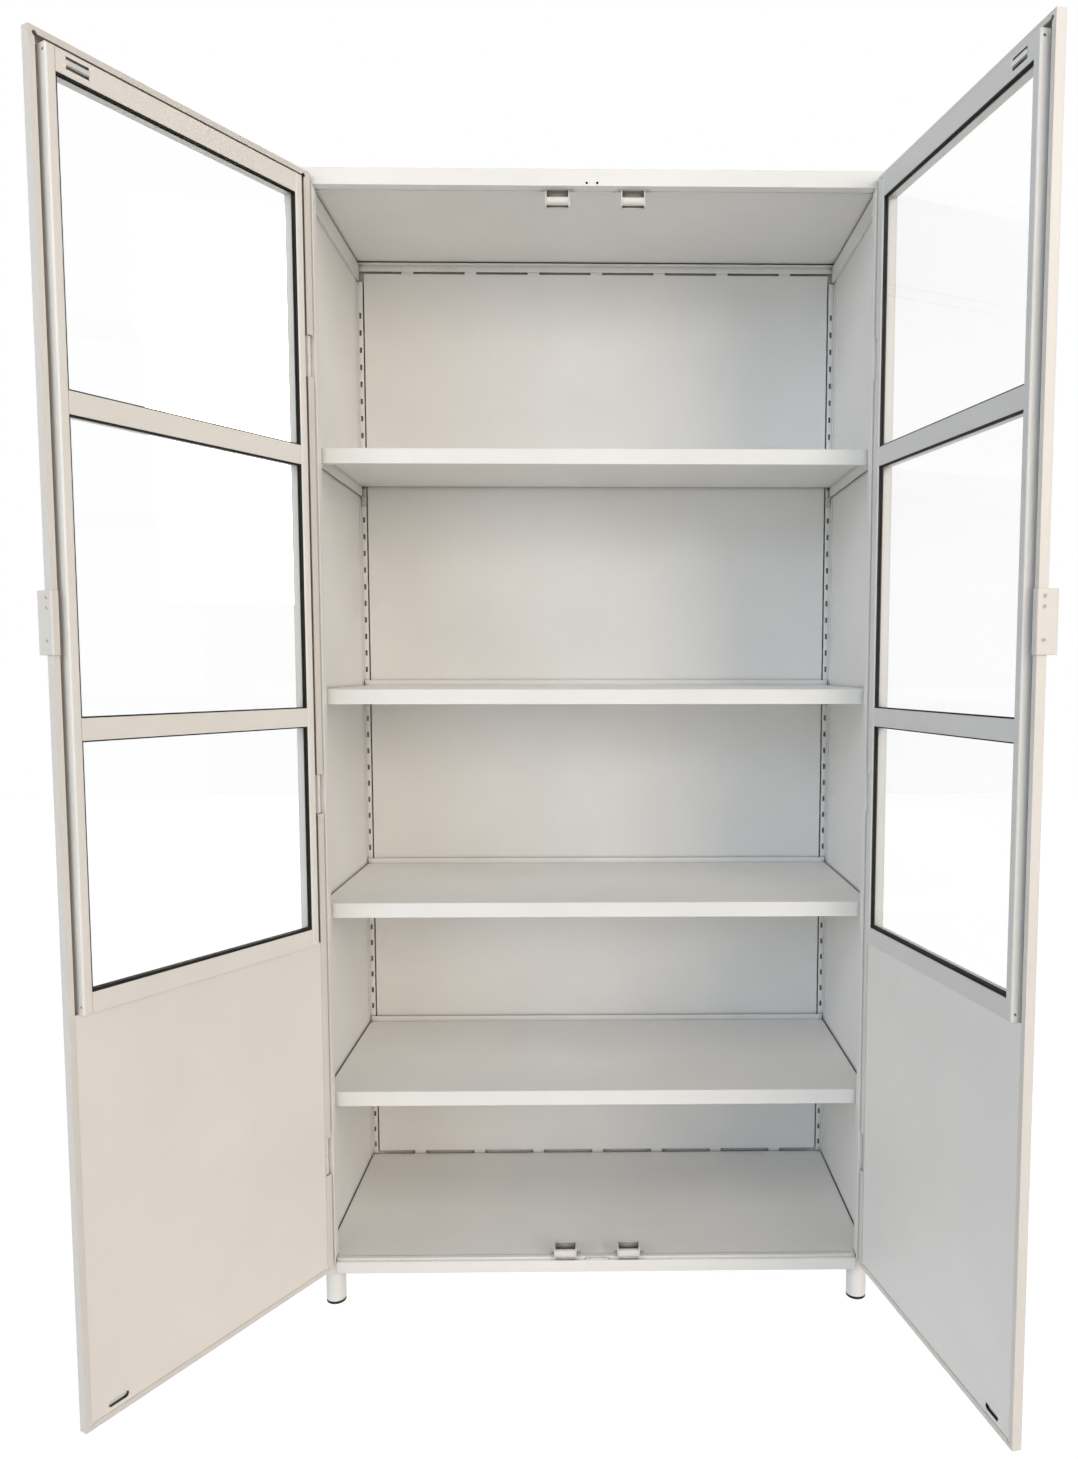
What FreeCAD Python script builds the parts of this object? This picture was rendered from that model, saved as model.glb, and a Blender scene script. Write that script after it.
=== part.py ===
import FreeCAD, Part
import os
import re
import Sketcher

# Two-door glazed steel cabinet, millimetres. X runs to the right, Y into the
# cabinet, Z up; the origin is on the floor, in the middle of the front left foot.
# Every piece is drawn about the middle of the carcass and then set off from that foot.

doc = FreeCAD.newDocument("Cabinet")
sheet = doc.addObject("Spreadsheet::Sheet", "Dimensions")

sizes = {
    "width": 900,
    "depth": 400,
    "height": 1800,
    "gauge": 1,
    "fit": 0.5,
    "rail": 25,
    "rail_lip": 19,
    "rail_gap": 2.5,
    "rail_hem": 2,
    "corner_round": 4,
    "leg_height": 55,
    "post_face": 22,
    "post_return": 20,
    "rear_fold": 18,
    "kick": 19,
    "ledge": 6,
    "base_height": 23,
    "floor_gap": 2.5,
    "floor_seam": 13,
    "back_inset": 8,
    "back_gap_top": 4,
    "back_gap_low": 6,
    "tab_width": 22,
    "tab_pitch": 118,
    "upright_face": 11,
    "upright_leg": 14,
    "slot_pitch": 31.5,
    "slot_start": 42.5,
    "slot_height": 10,
    "slot_width": 4,
    "shelf_setback": 28,
    "shelf_edge": 24,
    "shelf_side": 20,
    "shelf_upstand": 10,
    "shelf_rise": 32,
    "shelf_gap": 3,
    "shelf_upper_slot": 40,
    "shelf_second_slot": 28,
    "shelf_third_slot": 17,
    "shelf_lower_slot": 7,
    "leg_radius": 16,
    "leg_wall": 1.8,
    "leg_inset": 17.5,
    "leg_front_set": 19,
    "leg_rear_set": 28,
    "cap_height": 5,
    "hinge_inset": 12,
    "hinge_radius": 4,
    "pin_radius": 2,
    "pin_clearance": 0.05,
    "knuckle": 30,
    "hinge_upper": 1518,
    "hinge_middle": 848,
    "hinge_lower": 259,
    "door_thickness": 14,
    "door_gap": 2,
    "door_tail": 4.8,
    "meeting_gap": 7,
    "door_top": 12,
    "door_bottom": 12,
    "door_return": 8,
    "door_hem": 2,
    "hinge_return": 12,
    "corner_relief": 3,
    "left_open": 120.5,
    "right_open": 102,
    "frame_hinge_side": 21.4,
    "frame_free_side": 13.5,
    "stile_hinge": 13,
    "stile_free": 12.5,
    "stile_round": 2,
    "stile_hole": 1.6,
    "frame_proud": 10,
    "frame_drop": 16,
    "frame_rail": 28,
    "frame_bottom": 613,
    "frame_sill": 27,
    "bar_upper": 1350,
    "bar_lower": 956,
    "bar_height": 28,
    "gasket": 1.8,
    "gasket_sill": 4.5,
    "gasket_bite": 1.5,
    "glass": 4,
    "handle_middle": 1100,
    "handle_height": 78,
    "handle_plate": 2,
    "handle_reach": 13,
    "handle_lip": 10,
    "handle_leg": 7.5,
    "screw_radius": 2.6,
    "screw_head": 1.2,
    "catch_top": 58,
    "catch_bottom": 52,
    "catch_half": 16.5,
    "catch_cheek": 2,
    "catch_ear": 24.5,
    "catch_height": 25,
    "catch_low_height": 19,
    "catch_drop": 16,
    "catch_rise": 7,
    "catch_plate": 1.5,
    "magnet_radius": 6,
    "catch_play": 0.5,
    "striker": 1.5,
    "striker_length": 30,
    "catch_slot": 4.5,
}
for row, (alias, value) in enumerate(sizes.items(), start=1):
    sheet.set("A%d" % row, alias)
    sheet.set("B%d" % row, str(value))
    sheet.setAlias("B%d" % row, alias)
doc.recompute()

left, right = -1, 1
nodes = []
from_foot_x = "(width/2-leg_inset)"
from_foot_y = "(depth/2-leg_front_set)"


def formula(text):
    return re.sub(r"[a-z]\w*", lambda m: "Dimensions." + m.group() if m.group() in sizes else m.group(), text)


def bind(thing, name, text):
    thing.setExpression(name, formula(text))


def span(side, near, far):
    return (near, far) if side > 0 else ("-(%s)" % far, "-(%s)" % near)


def about(middle, half):
    return ("(%s)-(%s)" % (middle, half), "(%s)+(%s)" % (middle, half))


def piece(label):
    body = doc.addObject("PartDesign::Body", label)
    body.Label = label
    body.AllowCompound = True
    place(body, from_foot_x, from_foot_y, "0")
    nodes.append(body)
    return body


def place(thing, x, y, z):
    for axis, text in zip("xyz", (x, y, z)):
        bind(thing, "Placement.Base." + axis, text)


def block(body, x, y, z, cut=False):
    kind = "PartDesign::SubtractiveBox" if cut else "PartDesign::AdditiveBox"
    feature = body.newObject(kind, "Block")
    for name, (low, high) in zip(("Length", "Width", "Height"), (x, y, z)):
        bind(feature, name, "(%s)-(%s)" % (high, low))
    place(feature, x[0], y[0], z[0])
    return feature


def drum(body, radius, length, x, y, z, along="z", cut=False):
    kind = "PartDesign::SubtractiveCylinder" if cut else "PartDesign::AdditiveCylinder"
    feature = body.newObject(kind, "Drum")
    turns = {
        "x": FreeCAD.Rotation(FreeCAD.Vector(0, 1, 0), 90),
        "y": FreeCAD.Rotation(FreeCAD.Vector(1, 0, 0), -90),
        "z": FreeCAD.Rotation(),
    }
    feature.Placement = FreeCAD.Placement(FreeCAD.Vector(), turns[along])
    bind(feature, "Radius", radius)
    bind(feature, "Height", length)
    place(feature, x, y, z)
    return feature


def soften(body, radius, chosen):
    doc.recompute()
    base = body.Tip
    edges = ["Edge%d" % n for n, edge in enumerate(base.Shape.Edges, start=1) if chosen(edge)]
    feature = body.newObject("PartDesign::Fillet", "Round")
    feature.Base = (base, edges)
    bind(feature, "Radius", radius)
    return feature


def number(text):
    value = sheet.evalExpression(re.sub(r"Dimensions\.", "", formula(text)))
    return float(value.Value if hasattr(value, "Value") else value)


def runs(edge, axis):
    ends = [vertex.Point for vertex in edge.Vertexes]
    if len(ends) != 2:
        return False
    step = ends[1] - ends[0]
    return abs(abs(getattr(step, axis)) - step.Length) < 1e-6 and step.Length > 1e-6


def near(edge, **where):
    middle = edge.CenterOfMass
    return all(abs(getattr(middle, axis) - number(text)) < 0.05 for axis, text in where.items())


def outline(body, points, plane="XY_Plane"):
    sketch = body.newObject("Sketcher::SketchObject", "Outline")
    support = [item for item in body.Origin.OriginFeatures if item.Role == plane][0]
    sketch.AttachmentSupport = [(support, "")]
    sketch.MapMode = "FlatFace"
    corners = [FreeCAD.Vector(number(x), number(y), 0) for x, y in points]
    count = len(corners)
    for n in range(count):
        sketch.addGeometry(Part.LineSegment(corners[n], corners[(n + 1) % count]))
    for n in range(count):
        sketch.addConstraint(Sketcher.Constraint("Coincident", n, 2, (n + 1) % count, 1))
    for n, (x, y) in enumerate(points):
        for kind, text in (("DistanceX", x), ("DistanceY", y)):
            index = sketch.addConstraint(Sketcher.Constraint(kind, -1, 1, n, 1, number(text)))
            bind(sketch, "Constraints[%d]" % index, text)
    return sketch


def pad(body, sketch, length):
    feature = body.newObject("PartDesign::Pad", "Pad")
    feature.Profile = sketch
    bind(feature, "Length", length)
    return feature


def along_row(body, feature, role, count, pitch):
    axis = [item for item in body.Origin.OriginFeatures if item.Role == role][0]
    pattern = body.newObject("PartDesign::LinearPattern", "Row")
    pattern.Originals = [feature]
    pattern.Direction = (axis, [""])
    bind(pattern, "Occurrences", count)
    bind(pattern, "Length", "(%s)*((%s)-1)" % (pitch, count))
    body.Tip = pattern
    return pattern


# Planes that the pieces share.
half = "width/2"
front = "(-depth/2)"
back = "(depth/2)"
under = "(height-rail)"
inside = "(width/2-gauge)"
post_edge = "(width/2-post_face)"
floor_top = "(leg_height+base_height)"
back_face = "(depth/2-back_inset)"
strip_face = "(depth/2-back_inset-gauge)"
strip_edge = "(width/2-gauge-upright_face)"
catch_high = "(height-rail-catch_drop)"
catch_low = "(leg_height+base_height+catch_rise)"


# Side panels: front edge folded to a post with a short return, rear edge folded in.
def side_panel(side, label):
    body = piece(label)
    sign = "" if side > 0 else "-1*"
    walk = [
        (post_edge, front + "+post_return"),
        (post_edge, front),
        (half, front),
        (half, back),
        (half + "-rear_fold", back),
        (half + "-rear_fold", back + "-gauge"),
        (inside, back + "-gauge"),
        (inside, front + "+gauge"),
        (post_edge + "+gauge", front + "+gauge"),
        (post_edge + "+gauge", front + "+post_return"),
    ]
    shape = outline(body, [("%s(%s)" % (sign, x), y) for x, y in walk])
    pad(body, shape, under + "-leg_height")
    bind(body, "Placement.Base.z", "leg_height")
    bend = "%s(%s)" % (sign, half)
    soften(body, "corner_round", lambda e: runs(e, "z") and near(e, x=bend, y=front))
    bend_in = "%s(%s)" % (sign, inside)
    soften(body, "corner_round-gauge", lambda e: runs(e, "z") and near(e, x=bend_in, y=front + "+gauge"))
    lip = "%s(%s)" % (sign, post_edge)
    soften(body, "gauge*1.5", lambda e: runs(e, "z") and near(e, x=lip, y=front))
    # the return stops above the leg
    block(body, span(side, post_edge + "-gauge", post_edge + "+2*gauge"),
          (front + "+2.5*gauge", front + "+post_return+gauge"), ("-gauge",
           "base_height+gauge"), cut=True)
    return body


side_panel(left, "left_side_panel")
side_panel(right, "right_side_panel")

# Top cap: fascia at the front with a lip turned in, skirts on the other sides.
top = piece("top_panel")
block(top, about("0", half), (front, back), (under, "height"))
block(top, about("0", inside), (front + "+gauge", back + "-gauge"),
      (under + "+gauge", "height-gauge"), cut=True)
soften(top, "corner_round-gauge",
       lambda e: runs(e, "z") and abs(abs(e.CenterOfMass.x) - number(inside)) < 0.01)
soften(top, "corner_round", lambda e: runs(e, "z") and abs(abs(e.CenterOfMass.x) - number(half)) < 0.01)
block(top, about("0", inside + "-corner_round"), (front + "+rail_lip", back + "-gauge"),
      (under + "-gauge", under + "+2*gauge"), cut=True)
soften(top, "gauge", lambda e: abs(e.CenterOfMass.z - number("height")) < 0.01)
# the lip's edge is turned down between the catches, and a nut strip sits behind two holes in the fascia
hem_y = (front + "+rail_lip-gauge", front + "+rail_lip")
block(top, about("0", "catch_top-catch_ear-gauge"), hem_y, (under + "-rail_hem", under + "+gauge"))
for side in (left, right):
    block(top, span(side, "catch_top+catch_ear+gauge", inside + "-corner_round"), hem_y,
          (under + "-rail_hem", under + "+gauge"))
block(top, about("-5*gauge", "14*gauge"), (front + "+0.5*gauge", front + "+9*gauge"),
      (under + "+0.5*gauge", under + "+9*gauge"))
for hole in ("-13*gauge", "3*gauge"):
    drum(top, "1.9*gauge", "8*gauge", hole, front + "-gauge", under + "+4.5*gauge", along="y", cut=True)

# Rails under the cap: channels along the sides, an angle at the rear.
rail_top = "(height-gauge-rail_gap)"
for side, label in ((left, "top_rail_left"), (right, "top_rail_right")):
    rail = piece(label)
    block(rail, span(side, inside + "-5*gauge", inside), (front + "+post_return+2*gauge", back_face),
          (under + "-8*gauge", rail_top))
    block(rail, span(side, inside + "-4*gauge", inside + "+gauge"), (front, back),
          (under + "-7*gauge", rail_top + "-gauge"), cut=True)
rear_rail = piece("top_rail_rear")
block(rear_rail, about("0", inside + "-5*gauge"), (strip_face, back_face),
      (rail_top + "-12*gauge", rail_top))
block(rear_rail, about("0", inside + "-5*gauge"), (strip_face + "-12*gauge", back_face),
      (rail_top + "-gauge", rail_top))

# Base pan: floor, stepped front fascia, down-turned sides and rear.
base = piece("bottom_panel")
opening = post_edge + "-fit"
pan_side = inside + "-floor_gap"
wing_front = front + "+post_return+gauge"
between_legs = (front + "+leg_front_set+leg_radius+2*gauge", back + "-leg_rear_set-leg_radius-2*gauge")
block(base, about("0", opening), (front + "+ledge-gauge", strip_face), (floor_top + "-gauge", floor_top))
block(base, about("0", pan_side), (wing_front, strip_face), (floor_top + "-gauge", floor_top))
block(base, about("0", opening), (front + "+ledge-gauge", front + "+ledge"),
      ("leg_height+kick-gauge", floor_top))
block(base, about("0", opening), (front, front + "+ledge"), ("leg_height+kick-gauge", "leg_height+kick"))
block(base, about("0", opening), (front, front + "+gauge"), ("leg_height", "leg_height+kick"))
block(base, about("0", opening + "-leg_inset-leg_radius"), (front, front + "+15*gauge"),
      ("leg_height", "leg_height+gauge"))
block(base, about("0", half + "-rear_fold-fit"), (strip_face + "-gauge", strip_face),
      ("leg_height+gauge", floor_top))
skirt = half + "-rear_fold-fit"
block(base, about("0", skirt), (strip_face, back), ("leg_height+gauge", "leg_height+2*gauge"))
block(base, about("0", skirt), (back + "-gauge", back), ("leg_height+gauge", floor_top + "+20*gauge"))
block(base, about("0", "width/2-leg_inset-leg_radius-22*gauge"), about(front + "+floor_seam", "6*gauge"),
      (floor_top + "-3*gauge", floor_top + "-0.5*gauge"))
block(base, about("0", opening + "-6*gauge"), about(front + "+floor_seam", "0.8*gauge"),
      (floor_top + "-2*gauge", floor_top + "+gauge"), cut=True)
drum(base, "1.4*gauge", "3*gauge", "-9*gauge", front + "-gauge", "leg_height+kick-4*gauge",
     along="y", cut=True)
for side in (left, right):
    block(base, span(side, pan_side + "-gauge", pan_side), between_legs, ("leg_height+gauge", floor_top))
    block(base, span(side, pan_side + "-gauge", inside), between_legs,
          ("leg_height+gauge", "leg_height+14*gauge"))

# Back: a shallow tray, tabs at its top and bottom edges behind the rails.
rear = piece("back_panel")
tray = strip_edge + "-floor_gap"
tray_top = "(%s-12*gauge-back_gap_top)" % rail_top
tray_low = "(%s+back_gap_low)" % floor_top
block(rear, about("0", tray), (back_face, back_face + "+gauge"), (tray_low, tray_top))
for low in (tray_low, tray_top + "-gauge"):
    block(rear, about("0", tray), (back_face, back + "-gauge"), (low, low + "+gauge"))
for side in (left, right):
    block(rear, span(side, tray + "-gauge", tray), (back_face, back + "-gauge"), (tray_low, tray_top))
first_tab = about("-3*tab_pitch", "tab_width/2")
upper_tab = block(rear, first_tab, (back_face, back_face + "+gauge"),
                  (tray_top + "-gauge", rail_top + "-gauge"))
along_row(rear, upper_tab, "X_Axis", "7", "tab_pitch")
lower_tab = block(rear, first_tab, (back_face, back_face + "+gauge"),
                  (floor_top + "-12*gauge", tray_low + "+gauge"))
along_row(rear, lower_tab, "X_Axis", "7", "tab_pitch")

# Slotted uprights in the four corners, an angle each.
upright_base = floor_top + "+gauge"
upright_top = under + "-9*gauge"
slot_count = "floor((height-rail-leg_height-slot_start-40*gauge)/slot_pitch)+1"


def upright(side, at_front, label):
    body = piece(label)
    sign = "" if side > 0 else "-1*"
    edge = post_edge + "+1.5*gauge" if at_front else strip_edge
    near_y = front + "+post_return+gauge" if at_front else back_face
    step = "+gauge" if at_front else "-gauge"
    reach = "+upright_leg" if at_front else "-upright_leg"
    walk = [
        (edge, near_y),
        (inside, near_y),
        (inside, near_y + reach),
        (inside + "-gauge", near_y + reach),
        (inside + "-gauge", near_y + step),
        (edge, near_y + step),
    ]
    shape = outline(body, [("%s(%s)" % (sign, x), y) for x, y in walk])
    pad(body, shape, "(%s)-(%s)" % (upright_top, upright_base))
    bind(body, "Placement.Base.z", upright_base)
    slot = block(body, span(side, *about("(%s+%s-gauge)/2" % (edge, inside), "slot_width/2")),
                 (near_y + "-2*gauge", near_y + "+2*gauge"),
                 about("leg_height+slot_start-(%s)" % upright_base, "slot_height/2"), cut=True)
    along_row(body, slot, "Z_Axis", slot_count, "slot_pitch")
    return body


for side, name in ((left, "left"), (right, "right")):
    upright(side, True, "upright_front_" + name)
    upright(side, False, "upright_rear_" + name)

# Four pan shelves hung on clips.
shelf_front = "(-depth/2+shelf_setback)"
shelf_rear = "(depth/2-back_inset-4*gauge)"
shelf_half = "(width/2-gauge-shelf_gap)"
shelf_slots = {
    "shelf_upper": "shelf_upper_slot",
    "shelf_second": "shelf_second_slot",
    "shelf_third": "shelf_third_slot",
    "shelf_lower": "shelf_lower_slot",
}
for label, slot in shelf_slots.items():
    top_z = "(leg_height+slot_start+%s*slot_pitch+shelf_rise)" % slot
    shelf = piece(label)
    block(shelf, about("0", shelf_half), (shelf_front, shelf_rear), (top_z + "-gauge", top_z))
    block(shelf, about("0", shelf_half), (shelf_front, shelf_front + "+gauge"),
          (top_z + "-shelf_edge", top_z))
    block(shelf, about("0", shelf_half), (shelf_front, shelf_front + "+12*gauge"),
          (top_z + "-shelf_edge", top_z + "-shelf_edge+gauge"))
    block(shelf, about("0", shelf_half), (shelf_rear + "-gauge", shelf_rear),
          (top_z + "-gauge", top_z + "+shelf_upstand"))
    for side in (left, right):
        block(shelf, span(side, shelf_half + "-gauge", shelf_half), (shelf_front, shelf_rear),
              (top_z + "-shelf_side", top_z))
        # the front edge is cut back at its ends to sit on the clips
        block(shelf, span(side, shelf_half + "-14*gauge", shelf_half + "+gauge"),
              (shelf_front + "-gauge", shelf_front + "+13*gauge"),
              (top_z + "-shelf_edge-gauge", top_z + "-shelf_side"), cut=True)
    soften(shelf, "1.5*gauge", lambda e: runs(e, "x") and near(e, y=shelf_front, z=top_z))

clips = piece("shelf_clips")
for slot in shelf_slots.values():
    hook_z = "(leg_height+slot_start+%s*slot_pitch)" % slot
    seat_z = "(%s+shelf_rise-shelf_side)" % hook_z
    for side in (left, right):
        rear_x = "((%s+%s-gauge)/2)" % (strip_edge, inside)
        front_x = "((%s+1.5*gauge+%s-gauge)/2)" % (post_edge, inside)
        for x, face, way in ((rear_x, strip_face, "-"), (front_x, front + "+post_return+2*gauge", "+")):
            plate = sorted((face, face + way + "1.5*gauge"), key=number)
            seat = sorted((face, face + way + "10*gauge"), key=number)
            hook = sorted((face + way + "gauge", "(%s)-(%s3*gauge)" % (face, way)), key=number)
            width = span(side, x + "-3.5*gauge", x + "+3.5*gauge")
            tooth = span(side, x + "-1.6*gauge", x + "+1.6*gauge")
            block(clips, width, plate, (hook_z + "-6*gauge", seat_z))
            block(clips, width, seat, (seat_z + "-1.5*gauge", seat_z))
            block(clips, tooth, hook, (hook_z + "-3*gauge", hook_z + "+3*gauge"))

# Round legs under the corners, closed by rubber caps.
leg_x = "(width/2-leg_inset)"
spots = {
    "front": "(-depth/2+leg_front_set)",
    "rear": "(depth/2-leg_rear_set)",
}
for side, name in ((left, "left"), (right, "right")):
    for end, y in spots.items():
        leg = piece("leg_%s_%s" % (end, name))
        x = leg_x if side > 0 else "(-1*%s)" % leg_x
        drum(leg, "leg_radius", "leg_height+kick-gauge-cap_height", x, y, "cap_height")
        inner = (front + "+ledge+2*gauge", y + "+leg_radius+24*gauge") if end == "front" else (
            y + "-leg_radius-24*gauge", strip_face + "-2*gauge")
        block(leg, span(side, leg_x + "-leg_radius-20*gauge", leg_x + "+leg_radius-4*gauge"), inner,
              ("leg_height+kick-gauge", floor_top + "-gauge"))
        drum(leg, "leg_radius-leg_wall", "leg_height", x, y, "cap_height-gauge", cut=True)
caps = piece("foot_caps")
for side in (left, right):
    for y in spots.values():
        x = leg_x if side > 0 else "(-1*%s)" % leg_x
        drum(caps, "leg_radius", "cap_height", x, y, "0")
        drum(caps, "leg_radius-leg_wall-0.1*gauge", "3*cap_height", x, y, "cap_height-gauge")
soften(caps, "1.5*gauge", lambda e: abs(e.CenterOfMass.z) < 0.01)

# Barrel hinges: the lower half welded to the post, the upper half to the door.
hinge_x = "(width/2-hinge_inset)"
hinge_y = "(-depth/2-door_gap-door_thickness/2)"
hinges = ("hinge_upper", "hinge_middle", "hinge_lower")
for side, name in ((left, "left"), (right, "right")):
    lower = piece(name + "_frame_knuckles")
    pins = piece(name + "_hinge_pins")
    x = hinge_x if side > 0 else "(-1*%s)" % hinge_x
    for level in hinges:
        drum(lower, "hinge_radius", "knuckle", x, hinge_y, level + "-knuckle")
        block(lower, about(x, "gauge"), (hinge_y + "+hinge_radius-gauge", front),
              (level + "-knuckle", level))
        drum(lower, "pin_radius+pin_clearance", "knuckle", x, hinge_y, level + "-knuckle+4*gauge",
             cut=True)
        drum(pins, "pin_radius", "2*knuckle-8*gauge", x, hinge_y, level + "-knuckle+4*gauge")

# Doors, drawn shut about the hinge line and turned to where they stand.
door_low = "(leg_height+door_bottom)"
door_high = "(height-door_top)"
outer = "(-door_thickness/2)"
inner = "(door_thickness/2)"
free = "(width/2-hinge_inset-meeting_gap/2)"
proud = "(door_thickness/2+frame_proud)"
skin_in = "(-door_thickness/2+gauge)"
frame_top = "(height-door_top-frame_drop)"
sight_low = "(frame_bottom+frame_sill)"
sight_high = "(%s-frame_rail)" % frame_top
sight_hinge = "(frame_hinge_side+stile_hinge)"
sight_free = "(%s-frame_free_side-stile_free)" % free
panes = {
    "upper": ("(bar_upper+bar_height)", sight_high),
    "middle": ("(bar_lower+bar_height)", "bar_upper"),
    "lower": (sight_low, "bar_lower"),
}


def swung(side, label):
    body = piece(label)
    body.Placement = FreeCAD.Placement(FreeCAD.Vector(),
                                       FreeCAD.Rotation(FreeCAD.Vector(0, 0, side), 90))
    bind(body, "Placement.Rotation.Angle", "left_open" if side < 0 else "right_open")
    post_x = hinge_x if side > 0 else "(-1*%s)" % hinge_x
    place(body, from_foot_x + "+" + post_x, from_foot_y + "+" + hinge_y, "0")
    return body


def reach(side, near_u, far_u):
    return span(-side, near_u, far_u)


def clear_hinges(body, side):
    for level in hinges:
        block(body, reach(side, "-door_tail-gauge", "hinge_radius+2*gauge"),
              (outer + "+1.5*gauge", inner + "+gauge"), about(level, "knuckle+gauge"), cut=True)


for side, name in ((left, "left"), (right, "right")):
    # outer skin: a pan with returns all round and three sight openings
    skin = swung(side, name + "_door_skin")
    block(skin, reach(side, "-door_tail", free), (outer, inner), (door_low, door_high))
    soften(skin, "door_hem", lambda e: near(e, y=outer))
    block(skin, reach(side, "-door_tail+gauge", free + "-gauge"), (skin_in, inner + "-gauge"),
          (door_low + "+gauge", door_high + "-gauge"), cut=True)
    block(skin, reach(side, "hinge_return-door_tail", free + "-door_return"),
          (inner + "-2*gauge", inner + "+gauge"),
          (door_low + "+door_return", door_high + "-door_return"), cut=True)
    for low, high in panes.values():
        block(skin, reach(side, sight_hinge, sight_free), (outer + "-gauge", skin_in + "+gauge"),
              (low, high), cut=True)
    clear_hinges(skin, side)
    for u in ("hinge_return-door_tail", free + "-door_return"):
        for z in (door_low + "+door_return", door_high + "-door_return"):
            drum(skin, "corner_relief", "3*gauge", reach(side, u, u)[0], inner + "-1.5*gauge", z,
                 along="y", cut=True)

    # flat inner sheet behind the lower part, with the oblong slot for the catch
    liner = swung(side, name + "_door_liner")
    block(liner, reach(side, "-door_tail+gauge", free + "-gauge"),
          (inner + "-2*gauge", inner + "-gauge"),
          (door_low + "+gauge", "frame_bottom"))
    low_u = hinge_x + "-catch_bottom"
    block(liner, reach(side, *about(low_u, "striker_length/2")), (inner + "-3*gauge", inner),
          about(catch_low, "catch_slot"), cut=True)
    slot_x = "%s(%s)" % ("-1*" if side > 0 else "", low_u)
    soften(liner, "catch_slot-0.1*gauge",
           lambda e: runs(e, "y") and abs(e.CenterOfMass.z - number(catch_low)) < number("catch_slot+gauge")
           and abs(e.CenterOfMass.x - number(slot_x)) < number("striker_length"))
    block(liner, reach(side, "-door_tail-gauge", "hinge_radius+2*gauge"),
          (outer + "+1.5*gauge", inner + "+gauge"),
          about("hinge_lower", "knuckle+gauge"), cut=True)

    # glazing frame: channel stiles that stand proud of the door's inner side, channel rails between them
    stiles = swung(side, name + "_glazing_stiles")
    stile_face = proud + "+gauge"
    stile_edge = free + "-frame_free_side"
    posts = (("frame_hinge_side", sight_hinge), (sight_free, stile_edge))
    for near_u, far_u in posts:
        block(stiles, reach(side, near_u, far_u), (skin_in, stile_face), ("frame_bottom", frame_top))
    soften(stiles, "stile_round", lambda e: near(e, y=stile_face))
    for near_u, far_u in posts:
        block(stiles, reach(side, near_u + "+gauge", far_u + "-gauge"), (skin_in + "-gauge", proud),
              ("frame_bottom+gauge", frame_top + "-gauge"), cut=True)
    for z in ("frame_bottom+10*gauge", frame_top + "-8*gauge"):
        drum(stiles, "stile_hole", "3*gauge",
             reach(side, stile_edge + "-2*gauge", stile_edge + "+gauge")[0],
             proud + "-5*gauge", z, along="x", cut=True)
    rails = swung(side, name + "_glazing_rails")
    for low, high in ((sight_high, frame_top), ("frame_bottom", sight_low)):
        block(rails, reach(side, sight_hinge, sight_free), (skin_in, proud), (low, high))
    soften(rails, "gauge", lambda e: runs(e, "x") and near(e, y=proud))
    for low, high in ((sight_high, frame_top), ("frame_bottom", sight_low)):
        block(rails, reach(side, sight_hinge + "-gauge", sight_free + "+gauge"),
              (skin_in + "-gauge", proud + "-gauge"),
              (low + "+gauge", high + "-gauge"), cut=True)
    top_u = hinge_x + "-catch_top"
    for lift in ("+5.5*gauge", "-5.5*gauge"):
        block(rails, reach(side, *about(top_u, "striker_length/2")),
              (proud + "-2*gauge", proud + "+gauge"),
              about(catch_high + lift, "1.8*gauge"), cut=True)

    bars = swung(side, name + "_glazing_bars")
    for low in ("bar_upper", "bar_lower"):
        block(bars, reach(side, sight_hinge, sight_free), (skin_in, proud), (low, low + "+bar_height"))
        block(bars, reach(side, sight_hinge + "-gauge", sight_free + "+gauge"),
              (skin_in + "-gauge", proud + "-gauge"),
              (low + "+gauge", low + "+bar_height-gauge"), cut=True)

    # panes in black gaskets, the lowest one on a thicker sill strip
    seals = swung(side, name + "_glazing_gaskets")
    pane_y = (proud + "-3*gauge-glass", proud + "-3*gauge")
    for low, high in panes.values():
        block(seals, reach(side, sight_hinge, sight_free),
              (proud + "-5*gauge-glass", proud + "-gauge"), (low, high))
    for level, (low, high) in panes.items():
        sill = "gasket_sill" if level == "lower" else "gasket"
        block(seals, reach(side, sight_hinge + "+gasket", sight_free + "-gasket"), (skin_in, proud),
              ("%s+%s" % (low, sill), high + "-gasket"), cut=True)
        pane_u = reach(side, sight_hinge + "+gasket-gasket_bite", sight_free + "-gasket+gasket_bite")
        pane_z = ("%s+%s-gasket_bite" % (low, sill), high + "-gasket+gasket_bite")
        block(seals, pane_u, pane_y, pane_z, cut=True)
        pane = swung(side, "%s_glass_%s" % (name, level))
        block(pane, pane_u, pane_y, pane_z)

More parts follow.
